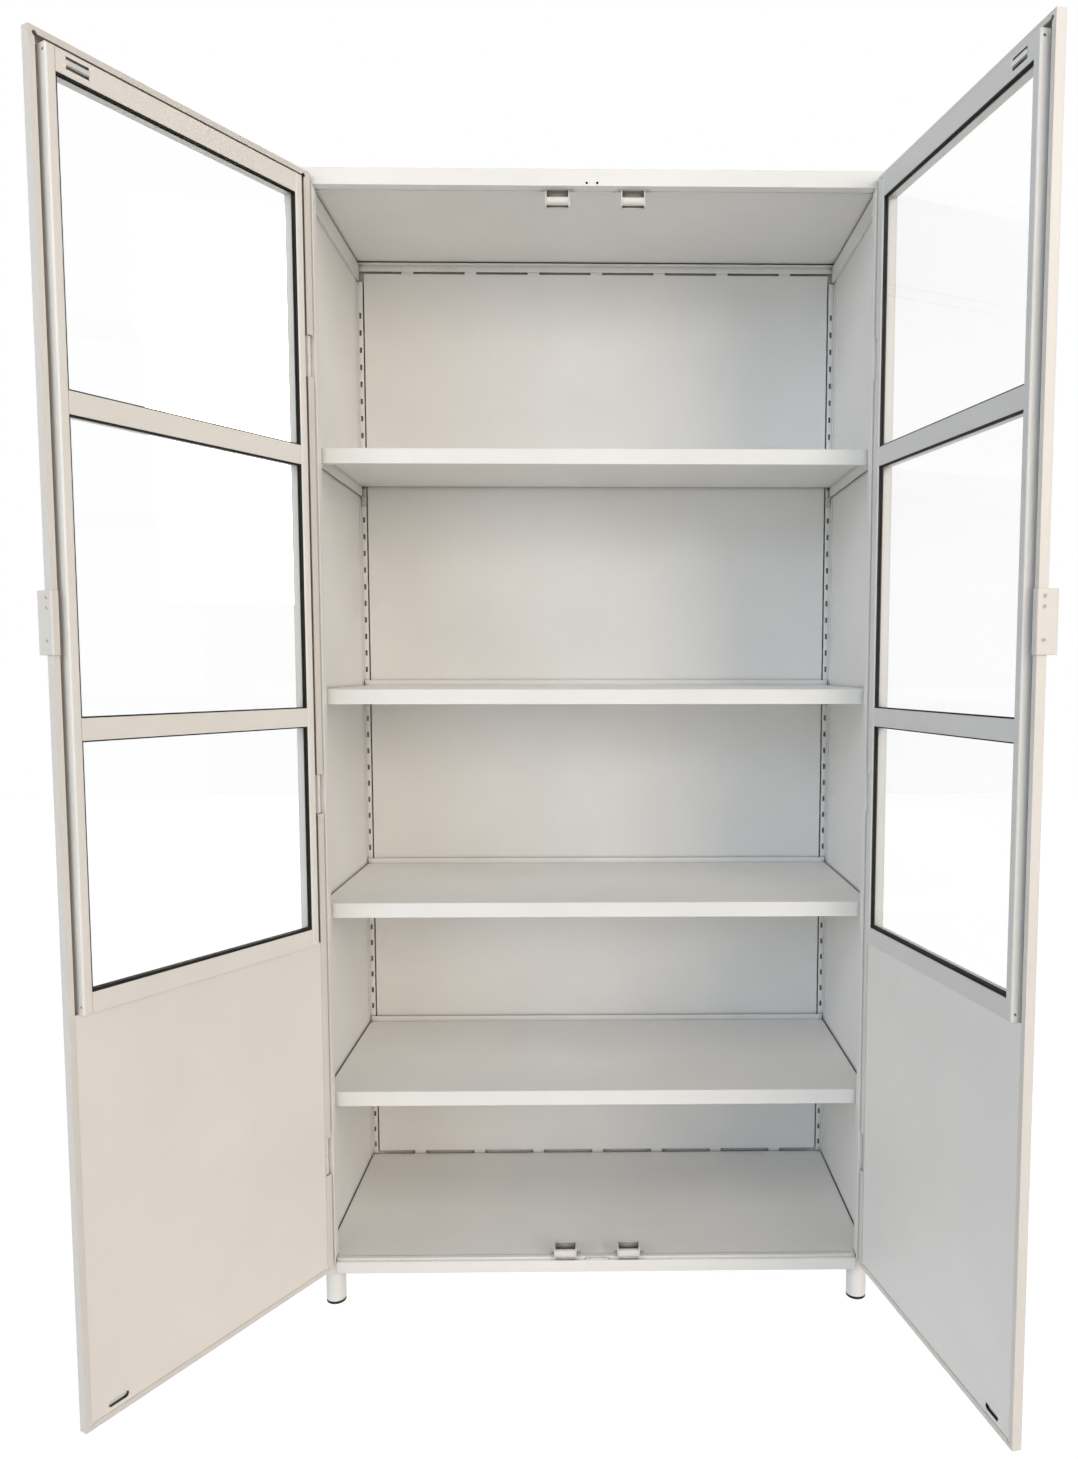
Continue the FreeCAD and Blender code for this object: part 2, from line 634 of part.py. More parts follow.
    # pull: a plate folded round the free edge, its lip turned back over the front
    pull = swung(side, name + "_handle")
    sign = "" if side < 0 else "-1*"
    lip_y = outer + "-handle_reach"
    walk = [
        (free, inner),
        (free + "-handle_leg", inner),
        (free + "-handle_leg", inner + "+handle_plate"),
        (free + "+handle_plate", inner + "+handle_plate"),
        (free + "+handle_plate", lip_y),
        (free + "-handle_lip", lip_y),
        (free + "-handle_lip", lip_y + "+handle_plate"),
        (free, lip_y + "+handle_plate"),
    ]
    shape = outline(pull, [("%s(%s)" % (sign, u), y) for u, y in walk])
    pad(pull, shape, "handle_height")
    bind(shape, "AttachmentOffset.Base.z", "handle_middle-handle_height/2")
    bend = "%s(%s+handle_plate)" % (sign, free)
    soften(pull, "1.5*handle_plate", lambda e: runs(e, "z") and near(e, x=bend, y=lip_y))
    soften(pull, "0.9*handle_plate",
           lambda e: runs(e, "z") and near(e, x=bend, y=inner + "+handle_plate"))
    screws = swung(side, name + "_handle_screws")
    for drop in ("8.5*gauge", "21*gauge", "60.5*gauge"):
        head_x = "%s(%s+handle_plate)" % (sign,
                     free) if side < 0 else "-1*(%s+handle_plate+screw_head)" % free
        drum(screws, "screw_radius", "screw_head", head_x, "0",
             "handle_middle+handle_height/2-" + drop, along="x")

    # upper hinge halves, welded to the inside of the skin
    upper = swung(side, name + "_door_knuckles")
    for level in hinges:
        foot = level + "+0.3*gauge"
        drum(upper, "hinge_radius", "knuckle-0.3*gauge", "0", "0", foot)
        block(upper, about("0", "gauge"), (skin_in, "-hinge_radius+gauge"), (foot, level + "+knuckle"))
        drum(upper, "pin_radius+pin_clearance", "knuckle+2*gauge", "0", "0", level + "-gauge", cut=True)

    # strikers for the catches
    plate = swung(side, name + "_striker_top")
    block(plate, reach(side, *about(top_u, "striker_length/2")), (proud, proud + "+striker"),
          about(catch_high, "3*gauge"))
    plate = swung(side, name + "_striker_bottom")
    plate_end = "striker_length/2+8*gauge"
    block(plate, reach(side, *about(low_u, plate_end)), (inner + "-4*gauge-striker", inner + "-4*gauge"),
          about(catch_low, "catch_slot-1.5*gauge"))
    for near_u, far_u in ((low_u + "+striker_length/2+3*gauge", low_u + "+" + plate_end),
                          (low_u + "-" + plate_end.replace("+", "-"), low_u + "-striker_length/2-3*gauge")):
        block(plate, reach(side, near_u, far_u), (inner + "-4*gauge-striker", inner + "-2*gauge"),
              about(catch_low, "catch_slot-1.5*gauge"))

# Magnetic catches: two under the top lip, two on the floor's front edge.
holders = piece("catch_brackets")
magnets = piece("catch_magnets")
fixings = piece("catch_screws")
face_y = "(%s+door_thickness/2+frame_proud+striker+catch_play)" % hinge_y
rear_y = "(-depth/2+rail_lip-gauge)"
for side in (left, right):
    for at in ("catch_top", "catch_bottom"):
        x = at if side > 0 else "(-%s)" % at
        cheek = "(catch_half+catch_cheek)"
        if at == "catch_top":
            bar_z = catch_high
            bar_y = face_y + "+magnet_radius"
            plate_z = (under + "-catch_plate", under)
            plate_y = (face_y, rear_y)
            cheek_y = (face_y + "+gauge", bar_y + "+magnet_radius")
            cheek_z = (under + "-catch_height", under)
            brow_z = (under + "-catch_height", under + "-catch_height+catch_plate")
            screw_z = under + "-catch_plate-gauge"
        else:
            bar_z = catch_low
            bar_y = "(%s+door_thickness/2-gauge+catch_play+magnet_radius)" % hinge_y
            plate_z = (floor_top, floor_top + "+catch_plate")
            plate_y = (front + "+ledge", front + "+ledge+14*gauge")
            cheek_y = (bar_y + "-magnet_radius+gauge", front + "+ledge+12*gauge")
            cheek_z = (floor_top, floor_top + "+catch_low_height")
            brow_z = (floor_top + "+catch_low_height-catch_plate", floor_top + "+catch_low_height")
            screw_z = floor_top + "+catch_plate"
        block(holders, about(x, "catch_ear"), plate_y, plate_z)
        for way in ("+", "-"):
            wall = sorted((x + way + "catch_half", x + way + cheek), key=number)
            block(holders, wall, cheek_y, cheek_z)
            drum(fixings, "screw_radius", "gauge", x + way + "(catch_ear-screw_radius-0.1*gauge)",
                 "(%s+%s)/2" % plate_y, screw_z)
        block(holders, about(x, cheek), ("%s-2*gauge" % cheek_y[1], cheek_y[1]), brow_z)
        block(holders, about(x, cheek), (cheek_y[1], cheek_y[1] + "+gauge"), cheek_z)
        drum(magnets, "magnet_radius", "2*catch_half", x + "-catch_half", bar_y, bar_z, along="x")

# Stop strip on the ledge between the lower catches.
stop = piece("door_stop")
block(stop, about("0", "18*gauge"), (front + "+0.5*gauge", front + "+ledge-gauge"),
      ("leg_height+kick", "leg_height+kick+3*gauge"))
soften(stop, "gauge",
       lambda e: runs(e, "x") and near(e, z="leg_height+kick+3*gauge", y=front + "+0.5*gauge"))
for x in ("-12*gauge", "12*gauge"):
    block(stop, about(x, "0.8*gauge"), (front, front + "+2*gauge"),
          ("leg_height+kick+gauge", "leg_height+kick+4*gauge"), cut=True)

doc.recompute()
faults = [item.Name for item in doc.Objects if "Invalid" in item.State or "Error" in item.State]
faults += [body.Label for body in nodes if body.Shape.isNull() or not body.Shape.isValid()]
if faults:
    raise RuntimeError("not built: " + ", ".join(faults))
os.makedirs("parts", exist_ok=True)
for body in nodes:
    body.Shape.exportStep("parts/%s.step" % body.Label)
    print("%-24s %3d solids %12.1f mm3" % (body.Label, len(body.Shape.Solids), body.Shape.Volume))
print(len(nodes), "nodes")
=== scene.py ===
import bpy
import math
from mathutils import Matrix, Vector


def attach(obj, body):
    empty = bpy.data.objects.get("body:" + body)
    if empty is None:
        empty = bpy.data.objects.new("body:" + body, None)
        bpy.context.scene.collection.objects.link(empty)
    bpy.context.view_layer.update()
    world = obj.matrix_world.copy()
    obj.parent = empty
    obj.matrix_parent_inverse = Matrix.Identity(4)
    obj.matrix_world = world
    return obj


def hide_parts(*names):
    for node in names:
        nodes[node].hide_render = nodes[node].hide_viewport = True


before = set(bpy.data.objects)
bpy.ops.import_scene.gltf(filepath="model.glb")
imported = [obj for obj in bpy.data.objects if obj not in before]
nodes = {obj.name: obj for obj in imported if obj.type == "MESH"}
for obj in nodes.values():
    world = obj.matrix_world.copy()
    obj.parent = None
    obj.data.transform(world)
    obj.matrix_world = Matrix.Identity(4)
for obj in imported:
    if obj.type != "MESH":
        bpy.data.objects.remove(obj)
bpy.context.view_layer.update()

# middle of the carcass on the floor, seen from the front left foot
carcassMiddle = Vector((0.4325, 0.181, 0.0))


def makeGroup(name, inputs, outputs):
    group = bpy.data.node_groups.new(name, "ShaderNodeTree")
    for socketName, kind, value in inputs:
        socket = group.interface.new_socket(socketName, in_out="INPUT", socket_type=kind)
        socket.default_value = value
    for socketName, kind in outputs:
        group.interface.new_socket(socketName, in_out="OUTPUT", socket_type=kind)
    return group, group.nodes.new("NodeGroupInput"), group.nodes.new("NodeGroupOutput")


def addNode(tree, kind, **settings):
    node = tree.nodes.new(kind)
    for key, value in settings.items():
        setattr(node, key, value)
    return node


def setInputs(node, **values):
    for key, value in values.items():
        node.inputs[key.replace("_", " ")].default_value = value
    return node


def mapRange(tree, value, fromRange, toRange):
    ranged = setInputs(addNode(tree, "ShaderNodeMapRange"), From_Min=fromRange[0], From_Max=fromRange[1],
                       To_Min=toRange[0], To_Max=toRange[1])
    tree.links.new(value, ranged.inputs["Value"])
    return ranged.outputs["Result"]


def combine(tree, operation, first, second):
    result = addNode(tree, "ShaderNodeMath", operation=operation)
    tree.links.new(first, result.inputs[0])
    tree.links.new(second, result.inputs[1])
    return result.outputs[0]


# gloss plus a share of a pattern
def unevenRoughness(tree, pattern, spread, gloss):
    rough = addNode(tree, "ShaderNodeMath", operation="MULTIPLY_ADD")
    rough.inputs[1].default_value = spread
    tree.links.new(pattern, rough.inputs[0])
    tree.links.new(gloss, rough.inputs[2])
    return rough.outputs[0]


def scaleColor(tree, color, factor):
    scaled = addNode(tree, "ShaderNodeVectorMath", operation="SCALE")
    tree.links.new(color, scaled.inputs[0])
    tree.links.new(factor, scaled.inputs["Scale"])
    return scaled.outputs["Vector"]


def mixColors(tree, mask, first, second):
    mixed = addNode(tree, "ShaderNodeMix", data_type="RGBA")
    tree.links.new(mask, mixed.inputs["Factor"])
    tree.links.new(first, mixed.inputs["A"])
    tree.links.new(second, mixed.inputs["B"])
    return mixed.outputs["Result"]


def mixShaders(tree, mask, first, second, outlet):
    mixed = addNode(tree, "ShaderNodeMixShader")
    tree.links.new(mask, mixed.inputs["Fac"])
    tree.links.new(first, mixed.inputs[1])
    tree.links.new(second, mixed.inputs[2])
    tree.links.new(mixed.outputs["Shader"], tree.nodes[outlet].inputs["Surface"])


# powder coat: fine orange peel, a faint cloudiness, dust mixed with painted shade in corners, and painted
# shade that darkens narrow gaps
coatPattern = {"cloudScale": 5.0, "cloudRange": (0.3, 0.7), "cloudTone": (0.965, 1.015),
               "speckScale": 340.0, "speckRange": (0.66, 0.74), "speckTone": (1.0, 0.955),
               "dustAndShadeRange": (0.25, 0.8), "gapShadeRange": (0.12, 0.54), "roughSpread": 0.12}


def powderCoatGroup():
    group, source, sink = makeGroup(
        "powderCoat",
        [("Position", "NodeSocketVector", (0, 0, 0)), ("Tint", "NodeSocketColor", (0.8, 0.8, 0.78, 1)),
         ("Dust", "NodeSocketColor", (0.5, 0.48, 0.44, 1)), ("DustAmount", "NodeSocketFloat", 0.35),
         ("GapShade", "NodeSocketColor", (0.022, 0.02, 0.018, 1)), ("GapShadeAmount", "NodeSocketFloat", 0.95),
         ("Reach", "NodeSocketFloat", 0.014),
         ("Gloss", "NodeSocketFloat", 0.34), ("PeelScale", "NodeSocketFloat", 900.0)],
        [("Color", "NodeSocketColor"), ("Roughness", "NodeSocketFloat"), ("Height", "NodeSocketFloat")])
    link = group.links.new
    given = source.outputs
    cloud = setInputs(addNode(group, "ShaderNodeTexNoise"), Scale=coatPattern["cloudScale"],
                      Detail=3.0, Roughness=0.55)
    speck = setInputs(addNode(group, "ShaderNodeTexNoise"), Scale=coatPattern["speckScale"], Detail=2.0)
    peel = setInputs(addNode(group, "ShaderNodeTexNoise"), Detail=2.0)
    link(given["PeelScale"], peel.inputs["Scale"])
    for texture in (cloud, speck, peel):
        link(given["Position"], texture.inputs["Vector"])
    cloudTone = mapRange(group, cloud.outputs["Fac"], coatPattern["cloudRange"], coatPattern["cloudTone"])
    speckTone = mapRange(group, speck.outputs["Fac"], coatPattern["speckRange"], coatPattern["speckTone"])
    tone = scaleColor(group, given["Tint"], combine(group, "MULTIPLY", cloudTone, speckTone))
    # painted shade: the AO mask darkens corners along with the dust colour, and turns narrow gaps near-black
    corner = addNode(group, "ShaderNodeAmbientOcclusion", samples=6)
    link(given["Reach"], corner.inputs["Distance"])
    inCorners = mapRange(group, corner.outputs["AO"], coatPattern["dustAndShadeRange"], (1.0, 0.0))
    dustyAndShaded = mixColors(group, combine(group, "MULTIPLY", inCorners, given["DustAmount"]), tone, given["Dust"])
    inGaps = mapRange(group, corner.outputs["AO"], coatPattern["gapShadeRange"], (1.0, 0.0))
    darkened = mixColors(group, combine(group, "MULTIPLY", inGaps, given["GapShadeAmount"]), dustyAndShaded, given["GapShade"])
    link(darkened, sink.inputs["Color"])
    rough = unevenRoughness(group, cloud.outputs["Fac"], coatPattern["roughSpread"], given["Gloss"])
    link(rough, sink.inputs["Roughness"])
    link(peel.outputs["Fac"], sink.inputs["Height"])
    return group


# drawn or ground metal: fine streaks along one way
grainPattern = {"streakTone": (0.86, 1.1), "roughSpread": 0.25}


def grainGroup():
    group, source, sink = makeGroup(
        "drawnGrain",
        [("Position", "NodeSocketVector", (0, 0, 0)), ("Metal", "NodeSocketColor", (0.6, 0.6, 0.58, 1)),
         ("Stretch", "NodeSocketVector", (60.0, 900.0, 900.0)), ("Gloss", "NodeSocketFloat", 0.25)],
        [("Color", "NodeSocketColor"), ("Roughness", "NodeSocketFloat"), ("Height", "NodeSocketFloat")])
    link = group.links.new
    given = source.outputs
    stretch = addNode(group, "ShaderNodeVectorMath", operation="MULTIPLY")
    link(given["Position"], stretch.inputs[0])
    link(given["Stretch"], stretch.inputs[1])
    streak = setInputs(addNode(group, "ShaderNodeTexNoise"), Scale=1.0, Detail=3.0)
    link(stretch.outputs["Vector"], streak.inputs["Vector"])
    streakTone = mapRange(group, streak.outputs["Fac"], (0.0, 1.0), grainPattern["streakTone"])
    link(scaleColor(group, given["Metal"], streakTone), sink.inputs["Color"])
    rough = unevenRoughness(group, streak.outputs["Fac"], grainPattern["roughSpread"], given["Gloss"])
    link(rough, sink.inputs["Roughness"])
    link(streak.outputs["Fac"], sink.inputs["Height"])
    return group


powderCoat = powderCoatGroup()
drawnGrain = grainGroup()

foldRadius = 0.0009  # folds of thin sheet are never sharp
paintLook = {"bump": 0.12, "bumpDepth": 0.0004, "coat": 0.1, "coatRoughness": 0.35}
metalLook = {"bump": 0.1, "bumpDepth": 0.0002}
rubberLook = {"bump": 0.2, "bumpDepth": 0.0003, "dustAndShade": (0.09, 0.085, 0.08, 1), "dustAndShadeAmount": 0.3,
              "gloss": 0.5, "peelScale": 1600.0, "specular": 0.15}
paneLook = {"smearScale": 7.0, "smearRange": (0.45, 0.75), "film": (0.0, 0.03), "ior": 1.2,
            "tint": (0.985, 0.995, 0.99, 1), "daylight": (0.93, 0.95, 0.94, 1)}


def startMaterial(name):
    material = bpy.data.materials.new(name)
    material.use_nodes = True
    tree = material.node_tree
    return material, tree, tree.nodes["Principled BSDF"], tree.nodes.new("ShaderNodeTexCoord")


def patternedMaterial(name, pattern, look, **values):
    material, tree, shader, place = startMaterial(name)
    link = tree.links.new
    group = setInputs(addNode(tree, "ShaderNodeGroup", node_tree=pattern), **values)
    link(place.outputs["Object"], group.inputs["Position"])
    link(group.outputs["Color"], shader.inputs["Base Color"])
    link(group.outputs["Roughness"], shader.inputs["Roughness"])
    bump = setInputs(addNode(tree, "ShaderNodeBump"), Strength=look["bump"], Distance=look["bumpDepth"])
    fold = setInputs(addNode(tree, "ShaderNodeBevel", samples=4), Radius=foldRadius)
    link(group.outputs["Height"], bump.inputs["Height"])
    link(fold.outputs["Normal"], bump.inputs["Normal"])
    link(bump.outputs["Normal"], shader.inputs["Normal"])
    return material, shader


# the dust amount and reach set the dust and painted shade in corners and the painted shade in gaps
def paintMaterial(name, tint, dustAndShade=0.35, gloss=0.4, reach=0.014):
    material, shader = patternedMaterial(name, powderCoat, paintLook, Tint=(*tint, 1), DustAmount=dustAndShade,
                                         Gloss=gloss, Reach=reach)
    setInputs(shader, Coat_Weight=paintLook["coat"], Coat_Roughness=paintLook["coatRoughness"])
    return material


def metalMaterial(name, metal, stretch, gloss):
    material, shader = patternedMaterial(name, drawnGrain, metalLook, Metal=(*metal, 1),
                                         Stretch=stretch, Gloss=gloss)
    setInputs(shader, Metallic=1.0)
    return material


def rubberMaterial(name, tint):
    material, shader = patternedMaterial(name, powderCoat, rubberLook, Tint=(*tint, 1),
                                         Dust=rubberLook["dustAndShade"], DustAmount=rubberLook["dustAndShadeAmount"],
                                         Gloss=rubberLook["gloss"], PeelScale=rubberLook["peelScale"])
    setInputs(shader, Specular_IOR_Level=rubberLook["specular"])
    return material


def glassMaterial(name):
    material, tree, shader, place = startMaterial(name)
    smear = setInputs(addNode(tree, "ShaderNodeTexNoise"), Scale=paneLook["smearScale"], Detail=4.0)
    tree.links.new(place.outputs["Object"], smear.inputs["Vector"])
    film = mapRange(tree, smear.outputs["Fac"], paneLook["smearRange"], paneLook["film"])
    tree.links.new(film, shader.inputs["Roughness"])
    setInputs(shader, Base_Color=paneLook["tint"], Transmission_Weight=1.0, IOR=paneLook["ior"])
    # daylight passes through the panes into the cabinet
    clear = setInputs(addNode(tree, "ShaderNodeBsdfTransparent"), Color=paneLook["daylight"])
    ray = addNode(tree, "ShaderNodeLightPath")
    unseen = combine(tree, "MAXIMUM", ray.outputs["Is Shadow Ray"], ray.outputs["Is Diffuse Ray"])
    mixShaders(tree, unseen, shader.outputs["BSDF"], clear.outputs["BSDF"], "Material Output")
    return material


whitePaint = paintMaterial("whitePaint", (0.9, 0.892, 0.872))
# painted light: a warmer cream on the left door's inner side and glazing, standing for the warm lamp falling
# on it
warmLitPaint = paintMaterial("warmLitPaint", (0.895, 0.865, 0.82), dustAndShade=0.3)
# painted shade: a darker cream on the door skins and handles, so their lit edges read less bright
shadedDoorPaint = paintMaterial("shadedDoorPaint", (0.79, 0.757, 0.71), dustAndShade=0.3)
# painted shade: a greyer copy of the white paint on the right door's glazing frames, which stand in shade
shadedGreyPaint = paintMaterial("shadedGreyPaint", (0.765, 0.762, 0.752))
catchPlastic = paintMaterial("catchPlastic", (0.80, 0.775, 0.73), dustAndShade=0.45, gloss=0.22, reach=0.006)
# wide reach: painted shade darkens the recess inside the catch brackets
catchSteel = paintMaterial("catchSteel", (0.74, 0.71, 0.67), dustAndShade=0.3, gloss=0.25, reach=0.035)
zincSteel = metalMaterial("zincSteel", (0.66, 0.66, 0.63), stretch=(120.0, 900.0, 900.0), gloss=0.28)
pinSteel = metalMaterial("pinSteel", (0.58, 0.58, 0.56), stretch=(900.0, 900.0, 60.0), gloss=0.2)
screwSteel = metalMaterial("screwSteel", (0.52, 0.51, 0.49), stretch=(500.0, 500.0, 500.0), gloss=0.3)
blackSteel = metalMaterial("blackSteel", (0.02, 0.02, 0.02), stretch=(500.0, 500.0, 500.0), gloss=0.45)
# painted shade: the short reach darkens the cross recess and the rim of each head
screwPaint = paintMaterial("screwPaint", (0.72, 0.69, 0.645), dustAndShade=0.5, reach=0.003)
blackGasket = rubberMaterial("blackGasket", (0.018, 0.018, 0.018))
footRubber = rubberMaterial("footRubber", (0.022, 0.022, 0.021))
clearGlass = glassMaterial("clearGlass")


def finishFor(name):
    if "glass_" in name:
        return clearGlass
    if "gaskets" in name:
        return blackGasket
    if name == "foot_caps":
        return footRubber
    if name == "catch_brackets":
        return catchSteel
    if name == "shelf_clips":
        return zincSteel
    if name in ("catch_magnets", "door_stop"):
        return catchPlastic
    if "pins" in name or "screws" in name or "striker" in name:
        return pinSteel
    if "door_skin" in name or name.endswith("_handle"):
        return shadedDoorPaint
    if "left_door" in name or name.startswith("left_glazing"):
        return warmLitPaint
    if name.startswith("right_glazing"):
        return shadedGreyPaint
    return whitePaint


for name, node in nodes.items():
    node.data.materials.clear()
    node.data.materials.append(finishFor(name))
print("finishes on", len(nodes), "nodes")

# pan head screws with a cross recess, which stand for the plain heads of the solids
screwHead = {"radius": 0.0026, "rise": 0.0012, "roundShare": 0.75,
             "crossLength": 0.0031, "crossWidth": 0.0007, "crossDepth": 0.0007}
handleScrews = {"levels": (1.1305, 1.118, 1.0785), "left": (-0.2270, -0.4041), "right": (0.9612, -0.4550)}
doorHinges = {"left": (-0.0055, -0.028), "right": (0.8705, -0.028)}
catchScrews = {"high": ((0.3963, 0.3527, 0.5123, 0.4687), -0.005, 1.7735),
               "low": ((0.4023, 0.3587, 0.5063, 0.4627), -0.006, 0.0795), "rise": 0.001}
# blackened set screws in the two threaded holes of the fascia
setScrews = {"radius": 0.00185, "length": 0.005, "rimRound": 0.0003, "socket": 0.001, "socketLength": 0.005,
             "across": (0.4195, 0.4355), "y": -0.0137, "z": 1.7795}
smoothAngle = math.radians(35)


def addTurned(radius, length):
    bpy.ops.object.select_all(action="DESELECT")
    bpy.ops.mesh.primitive_cylinder_add(vertices=36, radius=radius, depth=length,
                                        location=(0.0, 0.0, length / 2))
    turned = bpy.context.object
    bpy.ops.object.transform_apply(location=True, rotation=True, scale=True)
    return turned


def roundFarRim(turned, length, offset, segments):
    bpy.ops.object.mode_set(mode="EDIT")
    bpy.ops.mesh.select_mode(type="EDGE")
    bpy.ops.mesh.select_all(action="DESELECT")
    bpy.ops.object.mode_set(mode="OBJECT")
    for edge in turned.data.edges:
        edge.select = all(turned.data.vertices[corner].co.z > length * 0.9 for corner in edge.vertices)
    bpy.ops.object.mode_set(mode="EDIT")
    bpy.ops.mesh.bevel(offset=offset, segments=segments, profile=0.5)
    bpy.ops.object.mode_set(mode="OBJECT")


def cutRecess(turned, cutter):
    recess = turned.modifiers.new("recess", "BOOLEAN")
    recess.operation = "DIFFERENCE"
    recess.solver = "EXACT"
    recess.object = cutter
    bpy.ops.object.select_all(action="DESELECT")
    bpy.context.view_layer.objects.active = turned
    turned.select_set(True)
    bpy.ops.object.modifier_apply(modifier="recess")
    bpy.data.objects.remove(cutter)


def modelScrewHead(rise):
    head = addTurned(screwHead["radius"], rise)
    roundFarRim(head, rise, offset=rise * screwHead["roundShare"], segments=5)
    for turn in (0.0, math.pi / 2):
        bpy.ops.object.select_all(action="DESELECT")
        bpy.ops.mesh.primitive_cube_add(size=1.0, location=(0.0, 0.0, rise), rotation=(0.0, 0.0, turn))
        bar = bpy.context.object
        bar.scale = (screwHead["crossLength"], screwHead["crossWidth"], 2 * screwHead["crossDepth"])
        bpy.ops.object.transform_apply(location=True, rotation=True, scale=True)
        cutRecess(head, bar)
    bpy.ops.object.shade_smooth_by_angle(angle=smoothAngle)
    return head


def modelSetScrew():
    screw = addTurned(setScrews["radius"], setScrews["length"])
    roundFarRim(screw, setScrews["length"], offset=setScrews["rimRound"], segments=2)
    bpy.ops.object.select_all(action="DESELECT")
    bpy.ops.mesh.primitive_cylinder_add(vertices=6, radius=setScrews["socket"],
                                        depth=setScrews["socketLength"],
                                        location=(0.0, 0.0, setScrews["length"]))
    bpy.ops.object.transform_apply(location=True, rotation=True, scale=True)
    cutRecess(screw, bpy.context.object)
    bpy.ops.object.shade_smooth_by_angle(angle=smoothAngle)
    return screw


def placeScrews(name, pattern, seats, body, finish):
    bpy.ops.object.select_all(action="DESELECT")
    for seat, outward in seats:
        screw = pattern.copy()
        screw.data = pattern.data.copy()
        turn = Vector(outward).to_track_quat("Z", "X").to_matrix().to_4x4()
        screw.data.transform(Matrix.Translation(seat) @ turn)
        bpy.context.collection.objects.link(screw)
        screw.select_set(True)
        bpy.context.view_layer.objects.active = screw
    bpy.ops.object.join()
    row = bpy.context.object
    row.name = name
    row.data.materials.clear()
    row.data.materials.append(finish)
    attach(row, body)
    return row


handlePattern = modelScrewHead(screwHead["rise"])
for side, hinge in doorHinges.items():
    seat = Vector((*handleScrews[side], 0.0))
    outward = (seat - Vector((*hinge, 0.0))).normalized()
    seats = [(seat + Vector((0.0, 0.0, level)), outward) for level in handleScrews["levels"]]
    row = placeScrews(side + "_handle_screw_heads", handlePattern, seats, side + "_door", screwPaint)
    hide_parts(side + "_handle_screws")
bpy.data.objects.remove(handlePattern)

catchPattern = modelScrewHead(catchScrews["rise"])
seats = []
for level, outward in (("high", (0.0, 0.0, -1.0)), ("low", (0.0, 0.0, 1.0))):
    across, y, z = catchScrews[level]
    seats += [((x, y, z), outward) for x in across]
row = placeScrews("catch_screw_heads", catchPattern, seats, "carcass", screwSteel)
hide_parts("catch_screws")
bpy.data.objects.remove(catchPattern)

setPattern = modelSetScrew()
seats = [((x, setScrews["y"], setScrews["z"]), (0.0, -1.0, 0.0)) for x in setScrews["across"]]
placeScrews("fascia_set_screws", setPattern, seats, "carcass", blackSteel)
bpy.data.objects.remove(setPattern)
print("screws modelled")


# rays that see the white surroundings: straight, through glass and in gloss
def backgroundRays(tree):
    ray = addNode(tree, "ShaderNodeLightPath")
    straight = combine(tree, "MAXIMUM", ray.outputs["Is Camera Ray"], ray.outputs["Is Transmission Ray"])
    return combine(tree, "MAXIMUM", straight, ray.outputs["Is Glossy Ray"])


# pale floor just under the feet, which keeps some of the shadow
stageFloor = {"size": 14.0, "drop": 0.0005, "color": (0.93, 0.93, 0.92), "roughness": 0.9,
              "glow": 1.16, "glowShare": 0.82}
bpy.ops.object.select_all(action="DESELECT")
bpy.ops.mesh.primitive_plane_add(size=stageFloor["size"],
                                 location=(carcassMiddle.x, carcassMiddle.y, -stageFloor["drop"]))
floor = bpy.context.object
floor.name = "studioFloor"
bpy.ops.object.transform_apply(location=True, rotation=True, scale=True)
floorMaterial = bpy.data.materials.new("studioFloorPaint")
floorMaterial.use_nodes = True
tree = floorMaterial.node_tree
matte = setInputs(tree.nodes["Principled BSDF"], Base_Color=(*stageFloor["color"], 1),
                  Roughness=stageFloor["roughness"])
glow = setInputs(addNode(tree, "ShaderNodeEmission"), Color=(1, 1, 1, 1), Strength=stageFloor["glow"])
share = addNode(tree, "ShaderNodeMath", operation="MULTIPLY")
share.inputs[1].default_value = stageFloor["glowShare"]
tree.links.new(backgroundRays(tree), share.inputs[0])
mixShaders(tree, share.outputs[0], matte.outputs["BSDF"], glow.outputs["Emission"], "Material Output")
floor.data.materials.append(floorMaterial)

# white backdrop, with a weak sky that lights the object
studioSky = {"backdrop": 1.0, "ambient": 0.08, "ambientColor": (0.97, 0.985, 1.0, 1)}
world = bpy.data.worlds.new("studioWorld")
bpy.context.scene.world = world
world.use_nodes = True
tree = world.node_tree
backdrop = setInputs(tree.nodes["Background"], Color=(1, 1, 1, 1), Strength=studioSky["backdrop"])
ambient = setInputs(addNode(tree, "ShaderNodeBackground"), Color=studioSky["ambientColor"],
                    Strength=studioSky["ambient"])
mixShaders(tree, backgroundRays(tree), ambient.outputs["Background"], backdrop.outputs["Background"],
           "World Output")

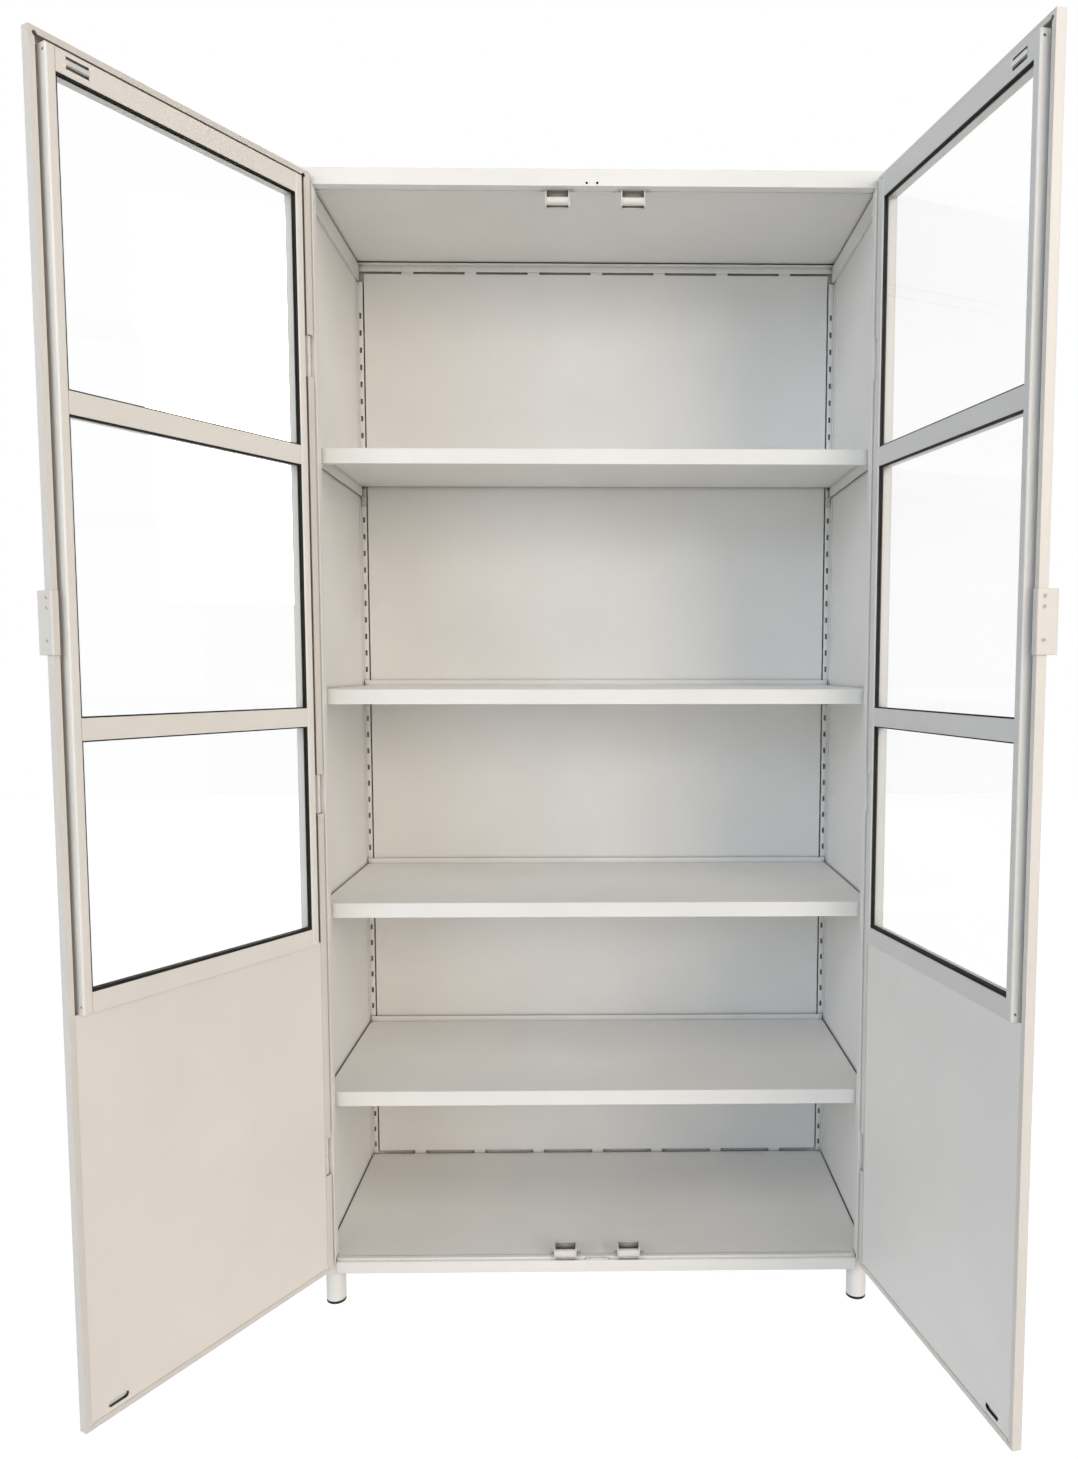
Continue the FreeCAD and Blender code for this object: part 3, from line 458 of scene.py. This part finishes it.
# lamps, with places and aims from the middle of the carcass
studioLamps = {
    "windowLight": {"at": (4.2, -7.0, 2.5), "aim": (-0.1, 0.0, 0.9), "size": (3.6, 3.0),
                    "power": 214, "color": (1.0, 0.865, 0.735)},
    "sideLight": {"at": (6.0, -5.0, 4.9), "aim": (-0.1, 0.0, 0.9), "size": (3.6, 3.0),
                  "power": 126, "color": (1.0, 0.96, 0.98)},
    "roomLight": {"at": (-5.0, -5.0, 3.6), "aim": (0.2, 0.0, 0.9), "size": (3.6, 3.0),
                  "power": 122, "color": (0.86, 0.88, 1.0)},
    "fillLight": {"at": (-3.6, -7.2, 2.0), "aim": (0.2, 0.0, 0.9), "size": (3.6, 3.0),
                  "power": 88, "color": (0.72, 0.88, 1.0)},
    "skyLight": {"at": (0.0, -5.0, 6.5), "aim": (0.0, 0.0, 0.8), "size": (3.6, 3.0),
                 "power": 72, "color": (1.0, 1.0, 0.86)},
    "rearLight": {"at": (-1.5, 7.0, 3.0), "aim": (0.0, 0.0, 0.9), "size": (4.0, 3.0),
                  "power": 222, "color": (1.0, 0.985, 0.965)},
}
for name, look in studioLamps.items():
    lamp = bpy.data.lights.new(name, "AREA")
    lamp.shape = "RECTANGLE"
    lamp.size, lamp.size_y = look["size"]
    lamp.energy = look["power"]
    lamp.color = look["color"]
    holder = bpy.data.objects.new(name, lamp)
    bpy.context.collection.objects.link(holder)
    holder.location = carcassMiddle + Vector(look["at"])
    holder.rotation_euler = (Vector(look["aim"]) - Vector(look["at"])).to_track_quat("-Z", "Y").to_euler()
print("stage and light set")

# camera as the photograph was taken
shot = {"at": (0.0075, -1.9123, 1.0468), "yaw": 0.9, "pitch": -4.63, "sensor": 36.0,
        "focal": 1084.9, "middle": (617.9, 754.9), "photoSize": (1078, 1459)}
photoWidth, photoHeight = shot["photoSize"]
lens = bpy.data.cameras.new("photoCamera")
lens.sensor_width = shot["sensor"]
lens.lens = shot["focal"] / photoHeight * shot["sensor"]
lens.shift_x = (photoWidth / 2 - shot["middle"][0]) / photoHeight
lens.shift_y = (shot["middle"][1] - photoHeight / 2) / photoHeight
camera = bpy.data.objects.new("photoCamera", lens)
bpy.context.collection.objects.link(camera)
camera.location = carcassMiddle + Vector(shot["at"])
camera.rotation_euler = (math.radians(90 + shot["pitch"]), 0.0, math.radians(-shot["yaw"]))
bpy.context.scene.camera = camera
bpy.context.scene.view_settings.view_transform = "Standard"
